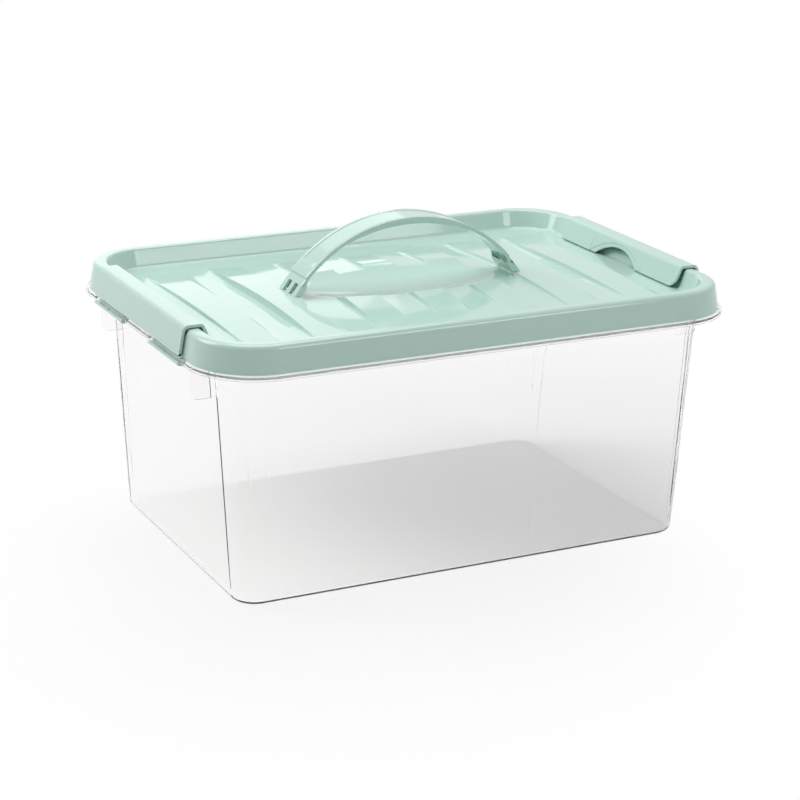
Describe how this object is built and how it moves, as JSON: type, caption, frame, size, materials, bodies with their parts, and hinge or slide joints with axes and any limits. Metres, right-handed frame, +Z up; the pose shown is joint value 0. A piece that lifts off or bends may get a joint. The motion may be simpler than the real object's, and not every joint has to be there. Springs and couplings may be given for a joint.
{
  "type": "latched storage box with carry handle",
  "caption": "Clear rectangular plastic storage box with a raised-rim ribbed lid, a bowed carry handle and two hinged clip latches on the short sides.",
  "frame": {"origin": "on the floor under the middle of the box", "axes": "+X along the long side, +Y along the short side, +Z up"},
  "size_m": [0.4036, 0.2804, 0.2275],
  "materials": {
    "clear_plastic": "clear, glossy",
    "mint_plastic": "opaque, semi-gloss"
  },
  "bodies": {
    "tub": {"tub": "clear_plastic"},
    "lid": {"lid": "mint_plastic", "carry_handle": "mint_plastic"},
    "latch_left": {"latch_left": "mint_plastic"},
    "latch_right": {"latch_right": "mint_plastic"}
  },
  "joints": [
    {"name": "lid_lift", "type": "slide", "parent": "tub", "child": "lid", "axis": [0, 0, 1], "range_m": [0, 0.0144]},
    {"name": "latch_left_hinge", "type": "hinge", "parent": "tub", "child": "latch_left", "pos_m": [-0.1985, 0, 0.1668], "axis": [0, -1, 0], "range_deg": [0, 180]},
    {"name": "latch_right_hinge", "type": "hinge", "parent": "tub", "child": "latch_right", "pos_m": [0.1985, 0, 0.1668], "axis": [0, 1, 0], "range_deg": [0, 180]}
  ],
  "couplings": [
    {"joint": "latch_left_hinge", "follows": "lid_lift", "rad_per_m": 218.17},
    {"joint": "latch_right_hinge", "follows": "lid_lift", "rad_per_m": 218.17}
  ]
}
